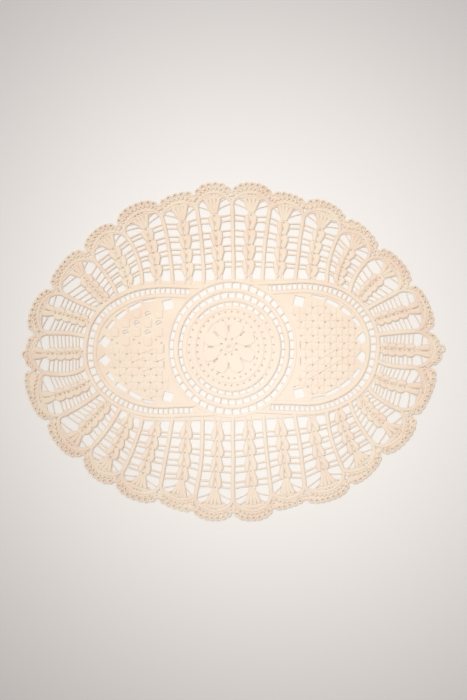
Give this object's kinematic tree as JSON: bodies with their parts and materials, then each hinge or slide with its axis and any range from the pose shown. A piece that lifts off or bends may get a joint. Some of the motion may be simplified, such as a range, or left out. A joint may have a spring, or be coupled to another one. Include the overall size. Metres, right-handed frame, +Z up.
{
  "type": "lace doily",
  "caption": "Oval openwork lace doily with a round medallion, rounded side panels and a deep border of arches that ends in a scalloped edge.",
  "frame": {"origin": "centre of the doily's bounding box, on its flat underside", "axes": "+X along the long axis, +Y across it, +Z up out of the right side of the lace"},
  "size_m": [0.3816, 0.308, 0.0022],
  "materials": {
    "cotton_lace": "matte"
  },
  "bodies": {
    "root": {"lace_doily": "cotton_lace"}
  },
  "joints": []
}
